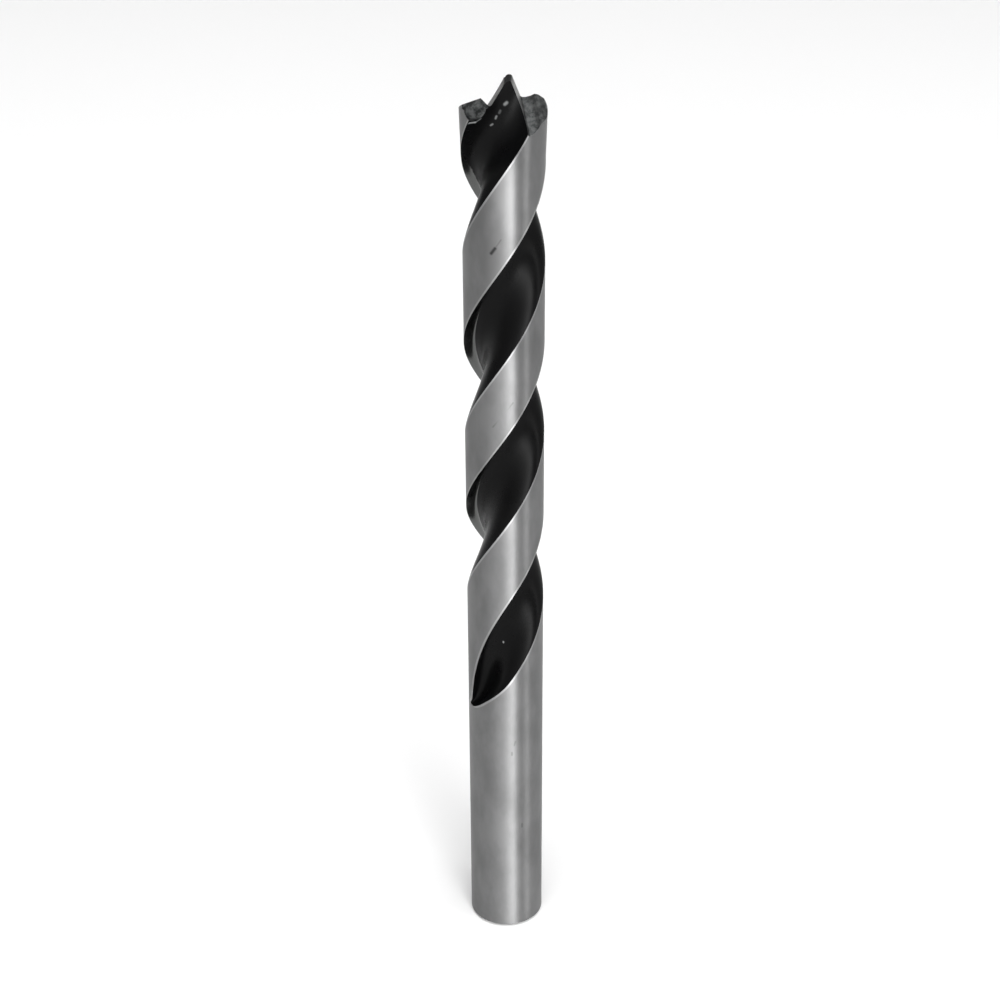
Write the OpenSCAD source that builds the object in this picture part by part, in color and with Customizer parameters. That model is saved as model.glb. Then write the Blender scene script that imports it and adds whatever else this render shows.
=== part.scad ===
// Brad point drill bit for wood: a round ground blank with two right-hand helical
// flutes, a centring brad, two relieved lips and a plain round shank.
// The bit stands on the flat end of its shank, with +Z towards the point.
// Azimuths are measured from the -Y direction, turning towards +X.

/* [Blank] */
// Diameter of the ground body where it meets the lips
bit_d = 10; // [6:0.5:16]
// How much smaller the shank is than the body, which tapers back to it
shank_under = 0.06; // [0.02:0.02:0.2]
// How far the lip corners flare out beyond the body
lip_flare = 0.2; // [0:0.05:0.3]
// Length of the flare below the lips
flare_l = 6; // [3:0.5:10]
// Length from the shank end to the top of the brad
overall_l = 119.7; // [100:0.1:160]
// Size of the chamfer round the shank end
end_chamfer = 0.4; // [0.2:0.1:1]

/* [Flutes] */
// Length of plain shank below the end of the flutes
shank_l = 35; // [25:1:45]
// Length along the axis of one full turn of a flute
lead = 46.4; // [38:0.2:60]
// Angle that the mouth of a flute takes out of the round
mouth_a = 96; // [84:1:104]
// Thickness of the web between the hooked sides of the flutes
web_t = 4.4; // [3.4:0.1:4.8]
// Azimuth of the middle of the front flute at the height of the lips
flute_azimuth = 0.9; // [-30:0.1:30]
// Turn from the front flute to the back one
flute_spacing = 184.6; // [176:0.1:188]
// Length over which the cutter lifts out at the end of a flute
runout_l = 5.5; // [4:0.5:9]

/* [Lips] */
// Height of the brad above the foot of its flanks
brad_h = 3.7; // [3:0.1:5]
// Slope of the clearance behind each lip
relief_a = 25; // [18:1:30]
// Yaw of the right clearance grind, away from straight across the bit
right_yaw = 8; // [0:1:12]
// Yaw of the left clearance grind
left_yaw = 18; // [8:1:24]
// Slope of the left lip, which rises towards the brad
left_lip_a = 20; // [0:1:24]
// Distance of the left lip's inner peak from the axis
left_lip_x = 2.5; // [2.3:0.1:3]
// Rise of the left lip's inner peak above the foot of the brad
left_lip_rise = 1; // [0.2:0.1:1.2]

/* [Brad] */
// Offset of the brad from the axis of the bit
brad_offset = 0.43; // [0:0.01:0.8]
// Width of the blunted ridge at the tip
blunt_w = 0.6; // [0.3:0.05:0.9]
// Thickness of the brad across the flutes, at the height of the lips
brad_t = 2.5; // [2:0.1:3]
// Length over which the web thins up to the brad
thinning_l = 9; // [6:0.5:14]
// Angle of the left flank from the level
left_flank_a = 60; // [57:1:68]
// Angle of the right flank from the level
right_flank_a = 66; // [58:1:70]
// Radius at the foot of each flank
foot_r = 0.3; // [0.15:0.05:0.4]

/* [Gash] */
// Distance of each ground lip face from the middle of the bit
gash_y = 2.05; // [1.9:0.05:2.3]
// Height of the lowest point of a gash below the foot of the brad
gash_drop = 0.85; // [0.5:0.05:1.2]
// Distance of the middle of a gash from the axis
gash_x = 3.4; // [3.2:0.1:3.6]
// Radius of the bottom of a gash
gash_r = 1.1; // [0.8:0.1:1.3]

/* [Hidden] */
$fn = 96;
bit_r = bit_d / 2;
lip_z = overall_l - brad_h;
past = bit_d;
mouth_half = mouth_a / 2;
corner_t = bit_r * sin(mouth_half);
corner_n = bit_r * cos(mouth_half);
steps_lead = 6;
steps_heel = 9;
ring_a = 7;
runout_rings = 9;
foot_steps = 5;

// A point on a cubic curve through four control points
function cubic(a, b, c, d, u) =
    pow(1 - u, 3) * a + 3 * u * pow(1 - u, 2) * b + 3 * u * u * (1 - u) * c + pow(u, 3) * d;

// A point at a share of the way between two others
function between(a, b, u) = a + (b - a) * u;

// Sections of a flute as [across, outwards] from its middle. The hooked side stands
// under the cutting edge, and the other side runs to the heel: with a gentle swell
// along the body (share 0), and deep with a steep wall at the point (share 1). A section
// has no point on the blank's surface: its end walls run straight out through the edges.
cut_edge = [-corner_t, corner_n];
heel_edge = [corner_t, corner_n];
function floor_n(w) = between(web_t, brad_t, w) / 2;
function hook_wall(w) = between([-0.61, 0.4], [-0.6, 0.5], w) * bit_r;
function hook_floor(w) = [between(-0.6, -0.35, w) * bit_r, between(web_t / 2, 0.3 * bit_r, w)];
function hook_foot(w) = [between(-0.35, -0.1, w) * bit_r, floor_n(w)];
function heel_floor(w) = [between(-0.05, 0.25, w) * bit_r, between(web_t / 2, 0.21 * bit_r, w)];
function heel_swell(w) = between([0.35 * bit_r, 0.87 * bit_r], [0.52 * bit_r, 0.1 * bit_r], w);
function hook_side(w) = [for (i = [1:steps_lead])
    cubic(cut_edge, hook_wall(w), hook_floor(w), hook_foot(w), i / steps_lead)];
function heel_side(w) = [for (i = [1:steps_heel - 1])
    cubic(hook_foot(w), heel_floor(w), heel_swell(w), heel_edge, i / steps_heel)];
function section(w) =
    let (hook = hook_side(w), heel = heel_side(w),
        past_cut = cut_edge + 1.2 * (cut_edge - hook[0]),
        past_heel = heel_edge + 1.6 * (heel_edge - heel[steps_heel - 2]))
    concat([past_cut], hook, heel, [past_heel, [0, 1.5 * bit_r]]);

// Heights of the rings of a flute: close together where the cutter lifts out
runout_top = shank_l + runout_l;
lift_max = bit_r - web_t / 2 + 0.2;
flute_top = overall_l + 2;
ring_h = lead * ring_a / 360;
body_rings = ceil((flute_top - runout_top) / ring_h);
ring_z = concat(
    [for (i = [0:runout_rings - 1]) shank_l + runout_l * (1 - cos(90 * i / runout_rings))],
    [for (i = [0:body_rings]) runout_top + (flute_top - runout_top) * i / body_rings]);

// How far the cutter stands out of the full depth at a height
function lift(z) =
    let (u = min(1, max(0, (runout_top - z) / runout_l)))
    lift_max * (1 - sqrt(1 - u * u));

// The share of the point's section at a height, where the web thins to the brad
function thinning(z) =
    let (u = min(1, max(0, 1 + (z - lip_z) / thinning_l)))
    u * u * (3 - 2 * u);

// One point of the section, turned to its azimuth and raised to its ring
function flute_point(p, z, azimuth) =
    let (a = azimuth + 360 * (z - lip_z) / lead, n = p[1] + lift(z))
    [p[0] * cos(a) + n * sin(a), p[0] * sin(a) - n * cos(a), z];

// The space that one flute takes out of the blank
module flute_space(azimuth) {
    count = steps_lead + steps_heel + 2;
    last = len(ring_z) - 1;
    points = [for (z = ring_z) for (p = section(thinning(z))) flute_point(p, z, azimuth)];
    sides = [for (r = [0:last - 1]) for (i = [0:count - 1])
        let (j = (i + 1) % count, a = r * count, b = a + count)
        each [[a + i, a + j, b + i], [a + j, b + j, b + i]]];
    caps = [for (i = [0:count - 3]) each [
        [count - 1, i + 1, i],
        [last * count + count - 1, last * count + i, last * count + i + 1]]];
    polyhedron(points, concat(sides, caps), convexity = 12);
}

// The turned and ground blank: a plain shank with a chamfered end, then a body with a
// slight back taper, which flares at the lips
module blank() {
    shank_r = bit_r - shank_under / 2;
    flare_r = bit_r + lip_flare;
    rotate_extrude()
        polygon([[0, 0], [shank_r - end_chamfer, 0], [shank_r, end_chamfer], [shank_r, shank_l],
            [bit_r, lip_z - flare_l], [flare_r, lip_z], [flare_r, overall_l], [0, overall_l]]);
}

// A straight pass of a grinding wheel behind the lip on the +X side. The profile runs
// down the brad's flank from its ridge, round the foot and out along the lip.
// lip_x and lip_rise place the lip's inner end, lip_a is the slope beyond it, and yaw is
// the turn of the pass.
module clearance_pass(ridge_x, flank_a, lip_x, lip_rise, lip_a, yaw) {
    slant = cos(relief_a);
    top = overall_l - lip_z + past;
    foot_x = ridge_x + brad_h / tan(flank_a);
    flank_top = [foot_x - top / slant / tan(flank_a), top];
    lip_in = [lip_x, lip_rise * slant];
    lip_out = [bit_r + past, (lip_rise - (bit_r + past - lip_x) * tan(lip_a)) * slant];
    foot = [foot_x, 0];
    to_lip = (lip_in - foot) / norm(lip_in - foot);
    to_top = (flank_top - foot) / norm(flank_top - foot);
    half_a = acos(to_lip * to_top) / 2;
    round_mid = foot + (to_lip + to_top) / norm(to_lip + to_top) * foot_r / sin(half_a);
    lip_bearing = atan2(to_lip[1], to_lip[0]);
    foot_arc = [for (i = [0:foot_steps])
        let (a = lip_bearing - 90 - (180 - 2 * half_a) * i / foot_steps)
        round_mid + foot_r * [cos(a), sin(a)]];
    translate([0, 0, lip_z]) rotate([relief_a, 0, yaw]) rotate([90, 0, 0])
        translate([0, 0, -past]) linear_extrude(2 * past)
            polygon(concat([lip_in, lip_out, [lip_out[0], top], flank_top],
                [for (i = [foot_steps:-1:0]) foot_arc[i]]));
}

// The pocket ground into the flute's wall below the lip on the -X side, open above to
// the whole width in front of the brad
module gash() {
    translate([-gash_x, -gash_y, lip_z - gash_drop + gash_r]) {
        rotate([90, 0, 0]) cylinder(r = gash_r, h = past);
        translate([-past, -past, 0]) cube([2 * past, past, past]);
    }
}

module drill_bit() {
    difference() {
        color("gainsboro") blank();
        color("#202022") flute_space(flute_azimuth);
        color("#202022") flute_space(flute_azimuth + flute_spacing);
        color("silver") clearance_pass(blunt_w / 2 + brad_offset, right_flank_a,
            bit_r, 0, 0, right_yaw);
        color("silver") rotate([0, 0, 180]) clearance_pass(blunt_w / 2 - brad_offset,
            left_flank_a, left_lip_x, left_lip_rise, left_lip_a, left_yaw);
        color("silver") gash();
        color("silver") rotate([0, 0, 180]) gash();
    }
}

drill_bit();
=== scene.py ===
"""Looks of the brad point drill bit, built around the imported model.

The bit is one solid piece. Its visual mesh follows the same section, helix and grinds
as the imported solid, with finer steps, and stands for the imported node. The brad, the left
lip, the gashes, the worn edges and the closing of the flutes are refined further here.
"""

import logging
import math
from dataclasses import dataclass, field
from enum import Enum

import bmesh
import bpy
from mathutils import Matrix, Vector

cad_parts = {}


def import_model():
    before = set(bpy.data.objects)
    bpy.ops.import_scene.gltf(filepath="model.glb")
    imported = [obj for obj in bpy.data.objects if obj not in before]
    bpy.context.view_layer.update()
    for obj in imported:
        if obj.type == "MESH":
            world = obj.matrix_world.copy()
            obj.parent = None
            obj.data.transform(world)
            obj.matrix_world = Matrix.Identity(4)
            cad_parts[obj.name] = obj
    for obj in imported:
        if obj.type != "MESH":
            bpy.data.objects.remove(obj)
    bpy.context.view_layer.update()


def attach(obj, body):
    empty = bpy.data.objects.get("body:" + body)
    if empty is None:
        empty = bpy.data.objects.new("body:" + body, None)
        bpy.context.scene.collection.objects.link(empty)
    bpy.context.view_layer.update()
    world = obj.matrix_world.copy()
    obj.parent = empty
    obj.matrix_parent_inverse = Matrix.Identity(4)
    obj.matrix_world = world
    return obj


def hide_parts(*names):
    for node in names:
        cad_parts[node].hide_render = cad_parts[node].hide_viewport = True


LOG = logging.getLogger("drill_bit_scene")
MM = 0.001
FULL_TURN = 2.0 * math.pi

# Driving sizes of the bit, in millimetres: the body's radius at the lips, the whole length,
# and the height of the brad above the foot of its flanks
BIT_R = 5.0
OVERALL_L = 119.7
BRAD_H = 3.7
LIP_Z = OVERALL_L - BRAD_H

# Sockets of a mix node that hold its share, its two colours and its result
MIX_SHARE, MIX_COLOURS, MIX_RESULT = 0, (6, 7), 2
# Shares of half a mark's width where it starts to fade, and where it's gone
MARK_FULL, MARK_GONE = 0.2, 1.6

Point2 = tuple[float, float]
Point3 = tuple[float, float, float]
Colour = tuple[float, float, float]


class Coat(Enum):
    """The finishes on the bit, in the order of its material slots; FLANK and EDGE paint
    highlights, GASH paints shade.
    """

    GROUND = 0
    FLUTE = 1
    FACET = 2
    FLANK = 3
    RAKE = 4
    GASH = 5
    EDGE = 6


@dataclass(frozen=True)
class Mark:
    """A short line on the surface, with soft edges. Places and widths are in millimetres.

    Its end is never its start: a spot is a line that is shorter than it is wide.
    """

    start: Point3
    end: Point3
    width: float
    strength: float = 1.0


def lerp(a: float, b: float, u: float) -> float:
    """The value at share u of the way from a to b."""
    return a + (b - a) * u


def cubic(a: Point2, b: Point2, c: Point2, d: Point2, u: float) -> Point2:
    """A point on a cubic curve.

    Args:
        a: Start of the curve.
        b: First control point.
        c: Second control point.
        d: End of the curve.
        u: Share of the way along, from 0 to 1.

    Returns:
        The point's two coordinates.
    """
    v = 1.0 - u
    weights = (v ** 3, 3 * u * v * v, 3 * u * u * v, u ** 3)
    return tuple(sum(w * p[k] for w, p in zip(weights, (a, b, c, d))) for k in (0, 1))


def arc(middle: Point2, radius: float, start: float, sweep: float, steps: int) -> list[Point2]:
    """Points on an arc.

    Args:
        middle: Centre of the arc.
        radius: Its radius.
        start: Bearing of its first point from the centre, in radians.
        sweep: Turn from its first point to its last, in radians.
        steps: Number of steps between them.

    Returns:
        The points, in order.
    """
    bearings = [start + sweep * i / steps for i in range(steps + 1)]
    return [(middle[0] + radius * math.cos(a), middle[1] + radius * math.sin(a))
            for a in bearings]


class Nodes:
    """Builds a node tree."""

    def __init__(self, tree: bpy.types.NodeTree) -> None:
        """Takes the tree to build.

        Args:
            tree: The node tree.
        """
        self.tree = tree

    def add(self, kind: str, **settings: object) -> bpy.types.Node:
        """Adds a node and sets its properties."""
        node = self.tree.nodes.new(kind)
        for key, value in settings.items():
            setattr(node, key, value)
        return node

    def link(self, source: bpy.types.NodeSocket, target: bpy.types.NodeSocket) -> None:
        """Links one socket to another."""
        self.tree.links.new(source, target)

    def feed(self, socket: bpy.types.NodeSocket, value: object) -> None:
        """Links a socket to another, or sets its constant."""
        if isinstance(value, bpy.types.NodeSocket):
            self.link(value, socket)
        else:
            socket.default_value = value

    def paint(self, socket: bpy.types.NodeSocket, colour: object) -> None:
        """Links a colour socket to another, or sets its constant."""
        self.feed(socket, (*colour, 1.0) if isinstance(colour, tuple) else colour)

    def number(self, operation: str, a: object, b: object) -> bpy.types.NodeSocket:
        """A calculation on two numbers."""
        node = self.add("ShaderNodeMath", operation=operation)
        self.feed(node.inputs[0], a)
        self.feed(node.inputs[1], b)
        return node.outputs[0]

    def vector(self, operation: str, a: object, b: object) -> bpy.types.Node:
        """A calculation on two vectors."""
        node = self.add("ShaderNodeVectorMath", operation=operation)
        self.feed(node.inputs[0], a)
        self.feed(node.inputs[1], b)
        return node

    def mix(self, share: object, a: object, b: object) -> bpy.types.NodeSocket:
        """Mixes two colours.

        Args:
            share: Socket or number from 0 to 1.
            a: Colour or socket at share 0.
            b: Colour or socket at share 1.

        Returns:
            The mixed colour's socket.
        """
        node = self.add("ShaderNodeMix", data_type="RGBA")
        self.feed(node.inputs[MIX_SHARE], share)
        for place, colour in zip(MIX_COLOURS, (a, b)):
            self.paint(node.inputs[place], colour)
        return node.outputs[MIX_RESULT]

    def ramp(self, value: object, low: float, high: float, out_low: float = 0.0,
             out_high: float = 1.0, kind: str = "SMOOTHSTEP") -> bpy.types.NodeSocket:
        """Maps a value from one range to another, and stops at its ends.

        Args:
            value: Socket with the value.
            low: Value that gives out_low.
            high: Value that gives out_high.
            out_low: Result at and below low.
            out_high: Result at and above high.
            kind: Way of going from one end to the other.

        Returns:
            The result's socket.
        """
        node = self.add("ShaderNodeMapRange", interpolation_type=kind)
        for socket, number in zip(node.inputs, (value, low, high, out_low, out_high)):
            self.feed(socket, number)
        return node.outputs[0]


class Surface(Nodes):
    """Builds the node tree of one material."""

    def __init__(self, name: str) -> None:
        """Makes a material that has only a shader.

        Args:
            name: Name of the material.
        """
        self.material = bpy.data.materials.new(name)
        self.material.use_nodes = True
        super().__init__(self.material.node_tree)
        self.tree.nodes.clear()
        output = self.add("ShaderNodeOutputMaterial")
        self.shader = self.add("ShaderNodeBsdfPrincipled")
        self.link(self.shader.outputs["BSDF"], output.inputs["Surface"])

    def position(self) -> bpy.types.NodeSocket:
        """The place on the bit, in metres."""
        return self.add("ShaderNodeTexCoord").outputs["Object"]

    def noise(self, place: object, scale: float = 1.0, detail: float = 2.0,
              rough: float = 0.5) -> bpy.types.NodeSocket:
        """Noise from 0 to 1 at a place."""
        node = self.add("ShaderNodeTexNoise")
        self.feed(node.inputs["Vector"], place)
        node.inputs["Scale"].default_value = scale
        node.inputs["Detail"].default_value = detail
        node.inputs["Roughness"].default_value = rough
        return node.outputs[0]

    def stretched(self, place: object, scale: Point3) -> bpy.types.NodeSocket:
        """The place multiplied along its three axes."""
        return self.vector("MULTIPLY", place, scale).outputs[0]

    def marks(self, place: object, marks: tuple[Mark, ...]) -> bpy.types.NodeSocket:
        """Shows where marks lie.

        Args:
            place: Socket with the place on the bit, in metres.
            marks: The marks.

        Returns:
            Socket with 0 away from all marks, up to their strength on them.
        """
        total: object = 0.0
        for mark in marks:
            start = Vector(mark.start) * MM
            way = (Vector(mark.end) - Vector(mark.start)) * MM
            offset = self.vector("SUBTRACT", place, tuple(start)).outputs[0]
            along = self.vector("DOT_PRODUCT", offset, tuple(way / way.length_squared))
            share = self.add("ShaderNodeClamp")
            self.link(along.outputs["Value"], share.inputs[0])
            nearest = self.add("ShaderNodeVectorMath", operation="SCALE")
            nearest.inputs[0].default_value = way
            self.link(share.outputs[0], nearest.inputs["Scale"])
            away = self.vector("DISTANCE", offset, nearest.outputs[0]).outputs["Value"]
            edge = mark.width / 2 * MM
            level = self.ramp(away, edge * MARK_FULL, edge * MARK_GONE, mark.strength, 0.0)
            total = self.number("MAXIMUM", level, total)
        return total

    def metal(self, colour: object, roughness: float) -> None:
        """Makes the shader bare metal.

        Args:
            colour: Colour or socket.
            roughness: Roughness from 0 to 1.
        """
        self.paint(self.shader.inputs["Base Color"], colour)
        self.shader.inputs["Metallic"].default_value = 1.0
        self.shader.inputs["Roughness"].default_value = roughness

    def bump(self, height: object, depth: float) -> None:
        """Bumps the shader's normal by a height from 0 to 1, depth metres deep."""
        node = self.add("ShaderNodeBump")
        node.inputs["Strength"].default_value = 1.0
        node.inputs["Distance"].default_value = depth
        self.feed(node.inputs["Height"], height)
        self.link(node.outputs[0], self.shader.inputs["Normal"])


@dataclass(frozen=True)
class GroundSteel:
    """Cylindrically ground steel, with a grain that runs round the axis."""

    name: str = "ground_steel"
    colour: Colour = (0.285, 0.286, 0.287)
    roughness: float = 0.45
    anisotropy: float = 0.97
    quarter_turn: float = 0.25
    grain: Point3 = (900.0, 900.0, 9000.0)
    grain_depth: float = 0.0000012
    patches: Point3 = (260.0, 260.0, 120.0)
    patch_limits: Point2 = (0.3, 0.7)
    mottle: float = 0.22
    dark: Colour = (0.03, 0.03, 0.03)
    marked: tuple[Mark, ...] = (
        Mark((-0.34, -4.98, 101.69), (-1.52, -4.76, 99.88), 0.18, 0.3),
        Mark((-1.05, -4.89, 100.6), (-1.5, -4.77, 99.95), 0.4, 0.85),
        Mark((1.03, -4.88, 80.67), (-1.44, -4.77, 77.4), 0.2, 0.3),
        Mark((1.25, -4.81, 31.0), (1.1, -4.84, 30.4), 0.2, 0.3),
        Mark((0.79, -4.9, 29.3), (0.79, -4.9, 28.9), 0.25, 0.35),
        Mark((2.14, -4.48, 17.3), (2.14, -4.48, 16.8), 0.25, 0.35))

    def material(self) -> bpy.types.Material:
        """The finish of the lands and the shank, or, in a brighter copy, the painted highlight on
        the lands' edges.
        """
        nodes = Surface(self.name)
        place = nodes.position()
        fine = nodes.noise(nodes.stretched(place, self.grain), detail=3.0, rough=0.7)
        patch = nodes.noise(nodes.stretched(place, self.patches), detail=4.0, rough=0.6)
        dark = tuple(c * (1.0 - self.mottle) for c in self.colour)
        steel = nodes.mix(nodes.ramp(patch, *self.patch_limits), dark, self.colour)
        nodes.metal(nodes.mix(nodes.marks(place, self.marked), steel, self.dark),
                    self.roughness)
        nodes.shader.inputs["Anisotropic"].default_value = self.anisotropy
        nodes.shader.inputs["Anisotropic Rotation"].default_value = self.quarter_turn
        tangent = nodes.add("ShaderNodeTangent", direction_type="RADIAL", axis="Z")
        nodes.link(tangent.outputs[0], nodes.shader.inputs["Tangent"])
        nodes.bump(fine, self.grain_depth)
        return nodes.material


@dataclass(frozen=True)
class BlackFlute:
    """The black surface that heat treatment leaves in the flutes: satin over fine grain, with
    bright marks that are partly worn bare metal, partly painted glints and a painted highlight.
    """

    colour: Colour = (0.0018, 0.0018, 0.0019)
    # Pale grey of the bright marks: partly worn bare metal, partly painted glints and a painted
    # highlight
    bare_and_glint_colour: Colour = (0.4, 0.41, 0.41)
    pale: float = 1.8
    roughness: float = 0.3
    uneven: float = 0.05
    specular: float = 0.08
    grit: float = 6500.0
    grain_depth: float = 0.000005
    patches: Point3 = (300.0, 300.0, 200.0)
    patch_limits: Point2 = (0.3, 0.7)
    # The first four marks lie along the crease of the point's thinning and are partly worn bare
    # metal, partly painted glints; the next two are a painted highlight on the rim under the left
    # gash; the last is a small bright speck above the run-out.
    wear_and_glints: tuple[Mark, ...] = (
        Mark((0.4, -1.12, 117.0), (0.2, -1.15, 116.85), 0.4, 0.35),
        Mark((-0.35, -1.24, 116.1), (-0.45, -1.25, 115.85), 0.3, 0.12),
        Mark((-0.8, -1.25, 115.45), (-0.88, -1.25, 115.2), 0.26, 0.3),
        Mark((-1.25, -1.23, 114.5), (-1.45, -1.21, 114.38), 0.24, 0.3),
        Mark((-3.95, -2.85, 115.12), (-3.2, -2.19, 115.02), 0.24, 0.6),
        Mark((-3.2, -2.19, 115.02), (-2.6, -2.0, 115.4), 0.18, 0.25),
        Mark((-0.27, -2.57, 45.25), (-0.27, -2.57, 45.15), 0.22, 0.6))

    def material(self) -> bpy.types.Material:
        """The finish of the flutes."""
        nodes = Surface("black_flute")
        place = nodes.position()
        grit = nodes.noise(place, self.grit, detail=3.0, rough=0.6)
        patch = nodes.noise(nodes.stretched(place, self.patches), detail=3.0, rough=0.6)
        black = nodes.mix(patch, self.colour, tuple(c * self.pale for c in self.colour))
        # Mixes the pale grey of the bright marks into the black: worn metal, painted glints and a
        # painted highlight.
        nodes.paint(nodes.shader.inputs["Base Color"],
                    nodes.mix(nodes.marks(place, self.wear_and_glints), black, self.bare_and_glint_colour))
        nodes.feed(nodes.shader.inputs["Roughness"],
                   nodes.ramp(patch, *self.patch_limits, self.roughness - self.uneven,
                              self.roughness + self.uneven))
        nodes.shader.inputs["Specular IOR Level"].default_value = self.specular
        nodes.bump(grit, self.grain_depth)
        return nodes.material


@dataclass(frozen=True)
class GroundFacet:
    """Wheel-ground faces of the point: dull steel with straight fine scratches and mottling,
    darkened to near black at the brad's tip.
    """

    name: str = "ground_facet"
    colour: Colour = (0.155, 0.16, 0.16)
    dark: Colour = (0.065, 0.068, 0.068)
    roughness: float = 0.42
    grain: Point3 = (9000.0, 600.0, 9000.0)
    grain_depth: float = 0.000004
    mottle_scale: float = 1500.0
    mottle_limits: Point2 = (0.35, 0.65)
    # Near black that the tip mark lays over the brad's tip
    tip_dark: Colour = (0.006, 0.006, 0.006)
    tip: Mark = Mark((0.65, -1.5, 119.5), (0.65, 1.5, 119.5), 1.5)

    def material(self) -> bpy.types.Material:
        """The finish of the relief faces; brighter for the flanks, as a painted highlight, and
        darker for the gashes, as painted shade.
        """
        nodes = Surface(self.name)
        place = nodes.position()
        lines = nodes.noise(nodes.stretched(place, self.grain), rough=0.6)
        mottle = nodes.ramp(nodes.noise(place, self.mottle_scale, detail=3.0, rough=0.6),
                            *self.mottle_limits)
        steel = nodes.mix(mottle, self.dark, self.colour)
        nodes.metal(nodes.mix(nodes.marks(place, (self.tip,)), steel, self.tip_dark),
                    self.roughness)
        nodes.bump(lines, self.grain_depth)
        return nodes.material


@dataclass(frozen=True)
class GroundRake:
    """The ground wall under a cutting edge: smooth bright steel that mirrors the black flute."""

    colour: Colour = (0.095, 0.097, 0.095)
    roughness: float = 0.2
    grain: Point3 = (900.0, 900.0, 5000.0)
    grain_depth: float = 0.000001

    def material(self) -> bpy.types.Material:
        """The finish of the rake walls."""
        nodes = Surface("ground_rake")
        nodes.metal(self.colour, self.roughness)
        nodes.bump(nodes.noise(nodes.stretched(nodes.position(), self.grain)), self.grain_depth)
        return nodes.material


FINISHES: dict[Coat, GroundSteel | BlackFlute | GroundFacet | GroundRake] = {
    Coat.GROUND: GroundSteel(),
    Coat.FLUTE: BlackFlute(),
    Coat.FACET: GroundFacet(),
    # The flanks: a brighter copy of the facets' ground steel, a painted highlight on the brad's
    # flanks
    Coat.FLANK: GroundFacet("ground_flank_painted_highlight", colour=(0.4, 0.4, 0.4), dark=(0.22, 0.22, 0.22)),
    Coat.RAKE: GroundRake(),
    # The gashes: a darker copy of the facets' ground steel, painted shade in the pockets
    Coat.GASH: GroundFacet("ground_gash_painted_shade", colour=(0.07, 0.072, 0.072),
                           dark=(0.015, 0.016, 0.016)),
    # The lands' edges: a brighter copy of the ground steel, a painted highlight along the edges
    Coat.EDGE: GroundSteel("ground_edge_painted_highlight", colour=(0.46, 0.462, 0.464)),
}


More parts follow.
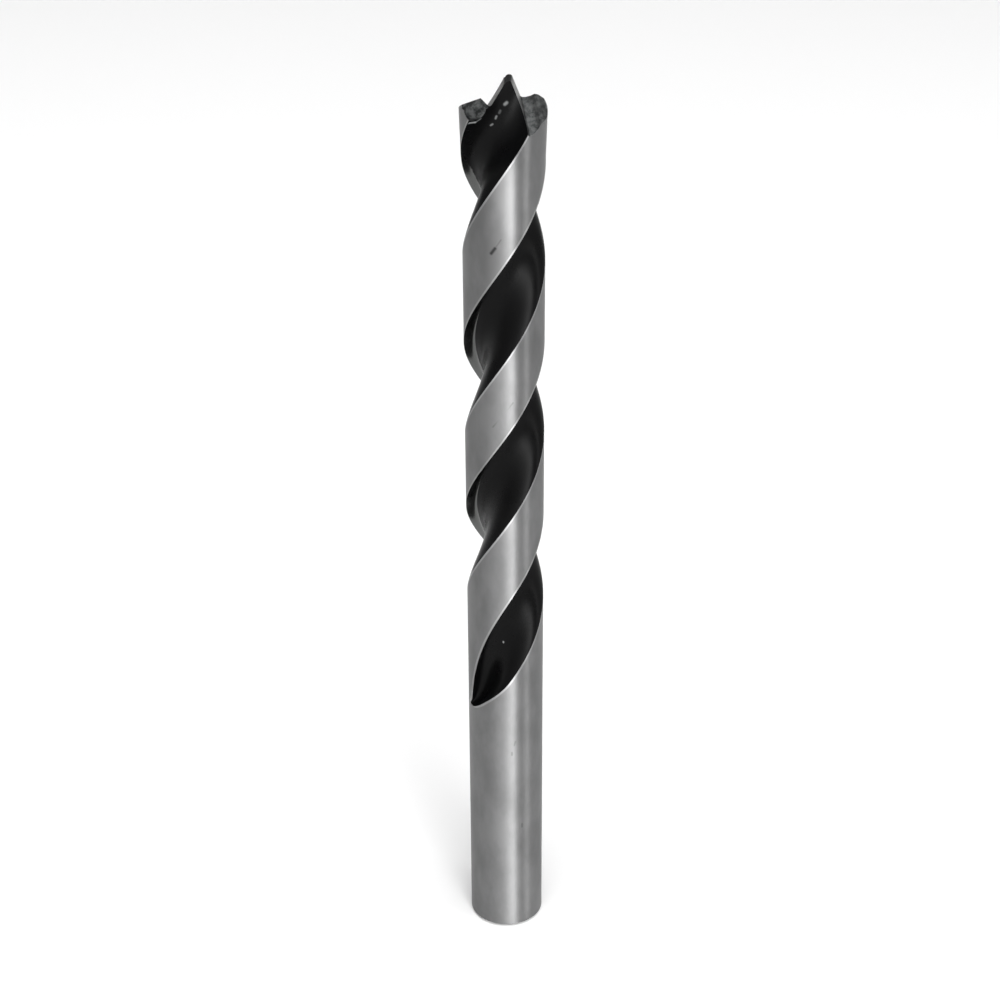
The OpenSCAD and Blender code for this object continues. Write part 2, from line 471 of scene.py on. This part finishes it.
@dataclass
class FluteShape:
    """Section and path of the two flutes, in millimetres and degrees.

    A section has a hooked side under the cutting edge and a side that swells to the heel.
    Its control points are shares of the bit's radius, for the body and for the point, and
    steps_lead and steps_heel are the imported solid's steps along the two sides. Where a
    flute runs out, from close_z down, its section also turns shut towards the heel.
    """

    bit_r: float = BIT_R
    shank_under: float = 0.06
    lip_flare: float = 0.2
    flare_l: float = 6.0
    web_t: float = 4.4
    mouth_a: float = 96.0
    lead: float = 46.4
    azimuth: float = 0.9
    spacing: float = 184.6
    lip_z: float = LIP_Z
    shank_l: float = 35.0
    runout_l: float = 5.5
    brad_t: float = 2.5
    thinning_l: float = 9.0
    hook_share: float = 0.42
    steps_lead: int = 6
    steps_heel: int = 9
    body_hook_wall: Point2 = (-0.61, 0.4)
    body_hook_floor: float = -0.6
    body_hook_foot: float = -0.35
    body_heel_floor: float = -0.05
    body_heel_swell: Point2 = (0.35, 0.87)
    point_hook_wall: Point2 = (-0.6, 0.5)
    point_hook_floor: Point2 = (-0.35, 0.3)
    point_hook_foot: float = -0.1
    point_heel_floor: Point2 = (0.25, 0.21)
    point_heel_swell: Point2 = (0.52, 0.1)
    lift_spare: float = 0.2
    close_z: float = 55.0
    close_l: float = 19.0
    close_a: float = 58.0
    span_steps: int = 400
    span_least: int = 3
    halvings: int = 30

    @property
    def mouth_half(self) -> float:
        """Half of the angle that a flute's mouth takes, in radians."""
        return math.radians(self.mouth_a) / 2

    @property
    def corner(self) -> Point2:
        """The heel's edge, as across and outwards from the flute's middle."""
        return (self.bit_r * math.sin(self.mouth_half), self.bit_r * math.cos(self.mouth_half))

    @property
    def lift_max(self) -> float:
        """How far the cutter has lifted where the flute ends."""
        return self.bit_r - self.web_t / 2 + self.lift_spare

    def thinning(self, z: float) -> float:
        """The share of the point's deeper section at a height."""
        u = min(1.0, max(0.0, 1 + (z - self.lip_z) / self.thinning_l))
        return u * u * (3 - 2 * u)

    def lift(self, z: float) -> float:
        """How far the cutter stands out of the full depth at a height."""
        u = min(1.0, max(0.0, (self.shank_l + self.runout_l - z) / self.runout_l))
        return self.lift_max * (1 - math.sqrt(1 - u * u))

    def blank_r(self, z: float) -> float:
        """Radius of the blank at a height: the shank, the back taper and the flare."""
        shank_r = self.bit_r - self.shank_under / 2
        flare_z = self.lip_z - self.flare_l
        taper = min(1.0, max(0.0, (z - self.shank_l) / (flare_z - self.shank_l)))
        flare = min(1.0, max(0.0, (z - flare_z) / self.flare_l))
        return lerp(shank_r, self.bit_r, taper) + self.lip_flare * flare

    def cut(self, u: float, z: float) -> Point2:
        """A point of the flute's section at a height.

        Args:
            u: Share of the way from the cutting edge to the heel.
            z: Height above the shank's end.

        Returns:
            Distance across from the flute's middle, and outwards from the axis.
        """
        across, out = self.corner
        r, w = self.bit_r, self.thinning(z)
        floor = lerp(self.web_t, self.brad_t, w) / 2
        foot = (lerp(self.body_hook_foot, self.point_hook_foot, w) * r, floor)
        if u < self.hook_share:
            wall = tuple(lerp(a, b, w) * r
                         for a, b in zip(self.body_hook_wall, self.point_hook_wall))
            low = (lerp(self.body_hook_floor, self.point_hook_floor[0], w) * r,
                   lerp(self.web_t / 2, self.point_hook_floor[1] * r, w))
            t, n = cubic((-across, out), wall, low, foot, u / self.hook_share)
            return t, n + self.lift(z)
        low = (lerp(self.body_heel_floor, self.point_heel_floor[0], w) * r,
               lerp(self.web_t / 2, self.point_heel_floor[1] * r, w))
        swell = tuple(lerp(a, b, w) * r
                      for a, b in zip(self.body_heel_swell, self.point_heel_swell))
        t, n = cubic(foot, low, swell, (across, out),
                     (u - self.hook_share) / (1 - self.hook_share))
        return t, n + self.lift(z)

    def mouth(self, heel: bool, z: float) -> Point2:
        """Where an end wall of the section, run straight on, meets the blank's surface.

        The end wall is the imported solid's first or last step along the section.

        Args:
            heel: Whether it is the heel's edge, and not the cutting edge.
            z: Height above the shank's end.

        Returns:
            Distance across from the flute's middle, and outwards from the axis.
        """
        if heel:
            near = 1 - (1 - self.hook_share) / self.steps_heel
        else:
            near = self.hook_share / self.steps_lead
        edge = Vector(self.cut(1.0 if heel else 0.0, z))
        way = (edge - Vector(self.cut(near, z))).normalized()
        along = edge.dot(way)
        reach = math.sqrt(along ** 2 - edge.length_squared + self.blank_r(z) ** 2) - along
        return tuple(edge + way * reach)

    def span(self, z: float) -> Point2 | None:
        """The shares between which the flute is inside the blank at a height.

        Args:
            z: Height above the shank's end.

        Returns:
            The first and last share, or None where there is no flute.
        """
        if z >= self.shank_l + self.runout_l:
            return 0.0, 1.0
        steps = self.span_steps
        inside = [i / steps for i in range(steps + 1)
                  if math.hypot(*self.cut(i / steps, z)) < self.blank_r(z)]
        if len(inside) < self.span_least:
            return None
        return self.edge(inside[0], -1 / steps, z), self.edge(inside[-1], 1 / steps, z)

    def edge(self, u: float, step: float, z: float) -> float:
        """Share at which the section crosses the blank, next to a share that is inside."""
        outside = min(1.0, max(0.0, u + step))
        for _ in range(self.halvings):
            middle = (u + outside) / 2
            if math.hypot(*self.cut(middle, z)) < self.blank_r(z):
                u = middle
            else:
                outside = middle
        return u

    def closing(self, u: float, z: float) -> float:
        """Turn of a point of the section towards the heel as the flute runs out, in radians."""
        down = min(1.0, max(0.0, (self.close_z - z) / self.close_l))
        return math.radians(self.close_a) * down * down * (1 - u)

    def bearing(self, flute: int, z: float) -> float:
        """Azimuth of the middle of flute 0 or 1 at a height, in radians."""
        turn = self.azimuth + flute * self.spacing + 360.0 * (z - self.lip_z) / self.lead
        return math.radians(turn)


@dataclass
class FlutedBody:
    """The blank with its flutes, as one grid of rings. Sizes are in millimetres.

    Rings below the flutes take their columns from a cut at first_cut above the shank.
    The rake finish covers the first columns of each flute, between rake_z and a top that
    comes down by rake_slope with each column.
    """

    shape: FluteShape = field(default_factory=FluteShape)
    overall_l: float = OVERALL_L
    end_chamfer: float = 0.4
    flute_columns: int = 56
    land_columns: int = 30
    ring_step: float = 0.3
    runout_rings: int = 26
    plain_rings: int = 24
    first_cut: float = 0.12
    rake_columns: int = 14
    rake_z: float = 43.0
    rake_top: float = 111.0
    rake_slope: float = 0.42

    def heights(self) -> list[float]:
        """Heights of the rings above the chamfer."""
        shape = self.shape
        top = shape.shank_l + shape.runout_l
        start = self.end_chamfer
        plain = [lerp(start, shape.shank_l, i / self.plain_rings) for i in range(self.plain_rings)]
        runout = [top - shape.runout_l * math.cos(math.pi / 2 * i / self.runout_rings)
                  for i in range(self.runout_rings)]
        count = math.ceil((self.overall_l - top) / self.ring_step)
        return plain + runout + [lerp(top, self.overall_l, i / count) for i in range(count + 1)]

    def flute_row(self, flute: int, z: float, span: Point2) -> list[Point2]:
        """One flute's points in a ring, as azimuth and radius."""
        shape = self.shape
        middle, blank_r = shape.bearing(flute, z), shape.blank_r(z)
        row = []
        for i in range(self.flute_columns + 1):
            u = lerp(span[0], span[1], i / self.flute_columns)
            if span == (0.0, 1.0) and i in (0, self.flute_columns):
                t, n = shape.mouth(i > 0, z)
            else:
                t, n = shape.cut(u, z)
            azimuth = middle + math.atan2(t, n) + shape.closing(u, z)
            row.append((azimuth, min(blank_r, math.hypot(t, n))))
        return row

    def ring(self, z: float) -> tuple[list[Point3], bool]:
        """One ring of points round the bit.

        Args:
            z: Height of the ring.

        Returns:
            The points, and whether the flutes are cut at this height.
        """
        shape = self.shape
        span, blank_r = shape.span(z), shape.blank_r(z)
        flutes = []
        for flute in (0, 1):
            if span is None:
                start = shape.shank_l + self.first_cut
                row = self.flute_row(flute, start, shape.span(start))
                flutes.append([(azimuth, blank_r) for azimuth, _ in row])
            else:
                flutes.append(self.flute_row(flute, z, span))
        points: list[Point2] = []
        for k in (0, 1):
            points += flutes[k]
            start, end = flutes[k][-1][0], flutes[1 - k][0][0]
            gap = (end - start) % FULL_TURN
            points += [(start + gap * i / self.land_columns, blank_r)
                       for i in range(1, self.land_columns)]
        ring = [(r * math.sin(a), -r * math.cos(a), z) for a, r in points]
        return ring, span is not None

    def coat(self, column: int, is_cut: bool, z: float) -> Coat:
        """The finish of one face: a land's edge, painted as a highlight, or its middle, a rake
        wall or the rest of a flute.
        """
        # The first and last land columns, next to the flutes, take the painted edge highlight.
        if is_cut and column in (self.flute_columns, self.flute_columns + self.land_columns - 1):
            return Coat.EDGE
        if column >= self.flute_columns or not is_cut:
            return Coat.GROUND
        top = self.rake_top - self.rake_slope * column
        if column < self.rake_columns and self.rake_z < z < top:
            return Coat.RAKE
        return Coat.FLUTE

    def build(self) -> bpy.types.Object:
        """Builds the body.

        Returns:
            The object, with its material indices set.
        """
        mesh = bmesh.new()
        heights = self.heights()
        rings, cut = [], []
        for z in heights:
            ring, is_cut = self.ring(z)
            rings.append([mesh.verts.new(Vector(p) * MM) for p in ring])
            cut.append(is_cut)
        count = len(rings[0])
        share = 1 - self.end_chamfer / self.shape.bit_r
        end = [mesh.verts.new((v.co.x * share, v.co.y * share, 0.0)) for v in rings[0]]
        half = count // 2
        for i in range(count):
            j = (i + 1) % count
            mesh.faces.new((end[i], end[j], rings[0][j], rings[0][i]))
            for r in range(len(rings) - 1):
                face = mesh.faces.new((rings[r][i], rings[r][j], rings[r + 1][j], rings[r + 1][i]))
                face.material_index = self.coat(i % half, cut[r], heights[r]).value
        mesh.faces.new(list(reversed(end)))
        cap = mesh.faces.new(rings[-1])
        cap.material_index = Coat.FACET.value
        bmesh.ops.recalc_face_normals(mesh, faces=mesh.faces)
        return make_object("drill_bit_body", mesh)


def make_object(name: str, mesh: bmesh.types.BMesh) -> bpy.types.Object:
    """Turns a bmesh into an object in the scene, and frees the bmesh."""
    data = bpy.data.meshes.new(name)
    mesh.to_mesh(data)
    mesh.free()
    made = bpy.data.objects.new(name, data)
    bpy.context.scene.collection.objects.link(made)
    return made


def prism(name: str, outline: list[Point2], low: float, high: float,
          place: Matrix, first: Coat = Coat.FACET,
          rest: Coat = Coat.FACET) -> bpy.types.Object:
    """A closed prism whose faces carry the finishes that it leaves on the bit.

    Args:
        name: Name of the object.
        outline: Corners of the base, in millimetres.
        low: Start of the extrusion along local Z.
        high: End of the extrusion.
        place: Transform from local millimetres to the bit's frame.
        first: Finish of the side on the outline's first edge.
        rest: Finish of the other faces.

    Returns:
        The prism.
    """
    mesh = bmesh.new()
    ends = [[mesh.verts.new(place @ Vector((x, y, z)) * MM) for x, y in outline]
            for z in (low, high)]
    count = len(outline)
    mesh.faces.new(list(reversed(ends[0])))
    mesh.faces.new(ends[1])
    sides = []
    for i in range(count):
        j = (i + 1) % count
        sides.append(mesh.faces.new((ends[0][i], ends[0][j], ends[1][j], ends[1][i])))
    for face in mesh.faces:
        face.material_index = rest.value
    sides[0].material_index = first.value
    bmesh.ops.recalc_face_normals(mesh, faces=mesh.faces)
    return make_object(name, mesh)


@dataclass
class ClearancePass:
    """A straight pass of a grinding wheel behind one lip, in millimetres and degrees.

    Its profile runs down the brad's flank from the ridge, round the foot, over the points
    where it is worn and out along the lip. lip_x and lip_rise place the lip's inner end,
    lip_a is the slope beyond it, yaw is the turn of the pass, and a turned pass stands on
    the other side of the bit.
    """

    ridge_x: float
    flank_a: float
    lip_x: float
    lip_rise: float
    lip_a: float
    yaw: float
    turned: bool
    brad_h: float = BRAD_H
    lip_z: float = LIP_Z
    bit_r: float = BIT_R
    relief_a: float = 25.0
    foot_r: float = 0.3
    past: float = 10.0
    arc_steps: int = 10
    wear_and_glints: tuple[Point2, ...] = ()

    def outline(self) -> list[Point2]:
        """The wheel's profile, square to its path."""
        slant = math.cos(math.radians(self.relief_a))
        top = self.brad_h + self.past
        foot = Vector((self.ridge_x + self.brad_h / math.tan(math.radians(self.flank_a)), 0.0))
        flank_top = Vector((foot.x - top / slant / math.tan(math.radians(self.flank_a)), top))
        lip_in = Vector((self.lip_x, self.lip_rise * slant))
        far = self.bit_r + self.past
        drop = (far - self.lip_x) * math.tan(math.radians(self.lip_a))
        lip_out = Vector((far, (self.lip_rise - drop) * slant))
        to_lip, to_top = (lip_in - foot).normalized(), (flank_top - foot).normalized()
        half = to_lip.angle(to_top) / 2
        middle = foot + (to_lip + to_top).normalized() * self.foot_r / math.sin(half)
        start = foot + to_lip * self.foot_r / math.tan(half) - middle
        end = foot + to_top * self.foot_r / math.tan(half) - middle
        sweep = math.atan2(start.x * end.y - start.y * end.x, start.dot(end))
        foot_arc = arc(middle, self.foot_r, math.atan2(start.y, start.x), sweep, self.arc_steps)
        return [tuple(flank_top), *reversed(foot_arc), *self.wear_and_glints, tuple(lip_in),
                tuple(lip_out), (far, top)]

    def cutter(self, name: str) -> bpy.types.Object:
        """The space that the pass takes."""
        place = (Matrix.Rotation(math.pi if self.turned else 0.0, 4, "Z")
                 @ Matrix.Translation((0, 0, self.lip_z))
                 @ Matrix.Rotation(math.radians(self.yaw), 4, "Z")
                 @ Matrix.Rotation(math.radians(self.relief_a), 4, "X")
                 @ Matrix.Rotation(math.pi / 2, 4, "X"))
        # The flank side of the pass takes the flank finish, the painted highlight.
        return prism(name, self.outline(), -self.past, self.past, place, Coat.FLANK)


@dataclass
class Gash:
    """The pocket ground in front of one lip. Sizes are in millimetres.

    Its round bottom has its middle at gash_x and lies gash_drop below the brad's foot.
    """

    turned: bool
    gash_x: float = 3.25
    gash_y: float = 2.05
    gash_r: float = 1.25
    gash_drop: float = 0.65
    lip_z: float = LIP_Z
    past: float = 10.0
    arc_steps: int = 28

    def cutter(self, name: str) -> bpy.types.Object:
        """The space that the gash takes."""
        bottom = arc((0.0, 0.0), self.gash_r, math.pi, math.pi, self.arc_steps)
        outline = [*bottom, (self.past, 0.0), (self.past, self.past), (-self.past, self.past),
                   (-self.past, 0.0)]
        place = (Matrix.Rotation(math.pi if self.turned else 0.0, 4, "Z")
                 @ Matrix.Translation((-self.gash_x, -self.gash_y,
                                       self.lip_z - self.gash_drop + self.gash_r))
                 @ Matrix.Rotation(math.pi / 2, 4, "X"))
        # All faces of the gash take the gash finish, the painted shade.
        return prism(name, outline, 0.0, self.past, place, Coat.GASH, Coat.GASH)


@dataclass
class TipWear:
    """What wear has taken off the tip of the brad, in millimetres and degrees."""

    middle_x: float = 0.7
    round_r: float = 0.55
    top_z: float = 119.5
    sweep: float = 62.0
    past: float = 4.0
    arc_steps: int = 12

    def cutter(self, name: str) -> bpy.types.Object:
        """The space above the rounded tip."""
        low = self.top_z - self.round_r
        sweep = math.radians(self.sweep)
        top = arc((self.middle_x, low), self.round_r, math.pi / 2 + sweep, -2 * sweep,
                  self.arc_steps)
        outline = [(self.past, low + self.past), (-self.past, low + self.past), *top]
        place = Matrix.Rotation(math.pi / 2, 4, "X")
        return prism(name, outline, -self.past, self.past, place)


@dataclass
class DrillBit:
    """The whole bit: the fluted body with the point ground on it.

    Sizes are in millimetres and degrees. lip_wear holds the worn edge of the right lip, as
    points across and up in its wheel's profile.
    """

    body: FlutedBody = field(default_factory=FlutedBody)
    brad_offset: float = 0.63
    blunt_w: float = 0.4
    right_yaw: float = 8.0
    left_yaw: float = 18.0
    left_flank_a: float = 56.0
    right_flank_a: float = 68.0
    left_lip_x: float = 3.1
    left_lip_rise: float = 1.3
    left_lip_a: float = 12.0
    sharp_a: float = 17.0
    lip_wear: tuple[Point2, ...] = ((2.9, 0.02), (3.5, 0.2), (3.9, 0.42), (4.35, 0.36))

    def cutters(self) -> list[bpy.types.Object]:
        """The spaces that the grinds take, in the order in which they are cut."""
        half = self.blunt_w / 2
        right = ClearancePass(ridge_x=half + self.brad_offset, flank_a=self.right_flank_a,
                              lip_x=self.body.shape.bit_r, lip_rise=0.0, lip_a=0.0,
                              yaw=self.right_yaw, turned=False, wear_and_glints=self.lip_wear)
        left = ClearancePass(ridge_x=half - self.brad_offset, flank_a=self.left_flank_a,
                             lip_x=self.left_lip_x, lip_rise=self.left_lip_rise,
                             lip_a=self.left_lip_a, yaw=self.left_yaw, turned=True)
        return [right.cutter("right_pass"), left.cutter("left_pass"),
                Gash(turned=False).cutter("left_gash"), Gash(turned=True).cutter("right_gash"),
                TipWear().cutter("tip_wear")]

    def build(self) -> bpy.types.Object:
        """Builds and dresses the bit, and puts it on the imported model's body.

        Returns:
            The finished piece.
        """
        piece = self.body.build()
        for cutter in self.cutters():
            cut_away(piece, cutter)
        for coat in Coat:
            piece.data.materials.append(FINISHES[coat].material())
        shade(piece, math.radians(self.sharp_a))
        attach(piece, "root")
        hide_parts("drill_bit")
        LOG.info("%s: %d faces", piece.name, len(piece.data.polygons))
        return piece


def cut_away(piece: bpy.types.Object, cutter: bpy.types.Object) -> None:
    """Takes the cutter's space out of the piece, and deletes the cutter."""
    modifier = piece.modifiers.new("cut", "BOOLEAN")
    modifier.operation = "DIFFERENCE"
    modifier.solver = "EXACT"
    modifier.object = cutter
    graph = bpy.context.evaluated_depsgraph_get()
    data = bpy.data.meshes.new_from_object(piece.evaluated_get(graph))
    piece.modifiers.clear()
    old = piece.data
    piece.data = data
    bpy.data.meshes.remove(old)
    bpy.data.objects.remove(cutter)


def shade(piece: bpy.types.Object, sharp: float) -> None:
    """Shades the piece smooth, apart from edges with more than a given angle."""
    piece.data.polygons.foreach_set("use_smooth", [True] * len(piece.data.polygons))
    piece.data.set_sharp_from_angle(angle=sharp)


@dataclass
class Studio:
    """The floor, the surround, the light and the camera. Lengths are in metres.

    The surround's levels are pairs of a bearing, in degrees from the front towards the
    right, and a brightness. They hold up to a height of dim[0], as a share of straight up,
    and fade to the zenith's level at dim[1].
    """

    lens: float = 71.461
    sensor: float = 36.0
    eye: Point3 = (-0.000625, -0.226231, 0.180744)
    right: Point3 = (0.999984, -0.002546, -0.00497)
    up: Point3 = (0.005584, 0.455915, 0.890006)
    back: Point3 = (-0.0, -0.89002, 0.455922)
    clip: Point2 = (0.005, 20.0)
    floor_w: float = 3.0
    floor_colour: Colour = (0.9, 0.9, 0.9)
    floor_roughness: float = 0.9
    top_place: Point3 = (0.0, -0.25, 1.2)
    top_size: Point2 = (1.0, 1.0)
    top_power: float = 13.0
    brightness: float = 8.0
    dim: Point2 = (0.6, 0.85)
    zenith: float = 0.1
    levels: tuple[Point2, ...] = (
        (-180.0, 0.03), (-128.0, 0.02), (-60.0, 0.05), (-23.0, 0.13), (-4.0, 0.3),
        (10.0, 0.68), (19.0, 1.0), (26.0, 0.95), (31.0, 0.2), (36.0, 0.07), (48.0, 0.02),
        (57.0, 0.06), (61.0, 0.42), (67.0, 0.42), (73.0, 0.08), (110.0, 0.05), (180.0, 0.04))

    def build_camera(self) -> None:
        """Sets the camera at the photograph's place and direction."""
        data = bpy.data.cameras.new("camera")
        data.lens, data.sensor_width = self.lens, self.sensor
        data.clip_start, data.clip_end = self.clip
        camera = bpy.data.objects.new("camera", data)
        axes = Matrix((self.right, self.up, self.back)).transposed().to_4x4()
        camera.matrix_world = Matrix.Translation(self.eye) @ axes
        bpy.context.scene.collection.objects.link(camera)
        bpy.context.scene.camera = camera

    def build_floor(self) -> None:
        """Lays the plain pale floor."""
        mesh = bmesh.new()
        bmesh.ops.create_grid(mesh, x_segments=1, y_segments=1, size=self.floor_w / 2)
        floor = make_object("floor", mesh)
        nodes = Surface("floor")
        nodes.paint(nodes.shader.inputs["Base Color"], self.floor_colour)
        nodes.shader.inputs["Roughness"].default_value = self.floor_roughness
        floor.data.materials.append(nodes.material)

    def light(self, name: str, place: Point3, aim: Point3, size: Point2, power: float) -> None:
        """Adds a soft rectangular light.

        Args:
            name: Name of the light.
            place: Its middle.
            aim: The point that it faces.
            size: Its width and height.
            power: Its power in watts.
        """
        data = bpy.data.lights.new(name, "AREA")
        data.shape, data.energy = "RECTANGLE", power
        data.size, data.size_y = size
        lamp = bpy.data.objects.new(name, data)
        way = Vector(aim) - Vector(place)
        lamp.matrix_world = (Matrix.Translation(place)
                             @ way.to_track_quat("-Z", "Y").to_matrix().to_4x4())
        bpy.context.scene.collection.objects.link(lamp)

    def build_surround(self) -> None:
        """Makes the surround: a dim room with tall soft lights at given bearings."""
        world = bpy.data.worlds.new("surround")
        world.use_nodes = True
        nodes = Nodes(world.node_tree)
        split = nodes.add("ShaderNodeSeparateXYZ")
        nodes.link(nodes.add("ShaderNodeTexCoord").outputs["Generated"], split.inputs[0])
        front = nodes.number("MULTIPLY", split.outputs[1], -1.0)
        bearing = nodes.number("ARCTAN2", split.outputs[0], front)
        share = nodes.ramp(bearing, -math.pi, math.pi, kind="LINEAR")
        ramp = nodes.add("ShaderNodeValToRGB")
        nodes.link(share, ramp.inputs[0])
        stops = ramp.color_ramp.elements
        while len(stops) > 1:
            stops.remove(stops[-1])
        for k, (angle, level) in enumerate(self.levels):
            place = (angle + 180.0) / 360.0
            stop = stops[0] if k == 0 else stops.new(place)
            stop.position, stop.color = place, (level, level, level, 1.0)
        high = nodes.ramp(split.outputs[2], *self.dim, 1.0, self.zenith)
        strength = nodes.number("MULTIPLY", high, self.brightness)
        ground = nodes.tree.nodes["Background"]
        nodes.link(ramp.outputs[0], ground.inputs[0])
        nodes.link(strength, ground.inputs[1])
        bpy.context.scene.world = world

    def build_light(self) -> None:
        """Lights the floor with a large top light, aimed at the foot of the bit."""
        self.light("top", self.top_place, (0.0, 0.0, 0.0), self.top_size, self.top_power)

    def build(self) -> None:
        """Builds the whole studio."""
        self.build_camera()
        self.build_floor()
        self.build_surround()
        self.build_light()
        bpy.context.scene.view_settings.view_transform = "Standard"


def main() -> None:
    """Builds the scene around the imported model."""
    logging.basicConfig(level=logging.INFO, format="%(name)s: %(message)s")
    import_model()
    DrillBit().build()
    Studio().build()


if __name__ == "__main__":
    main()
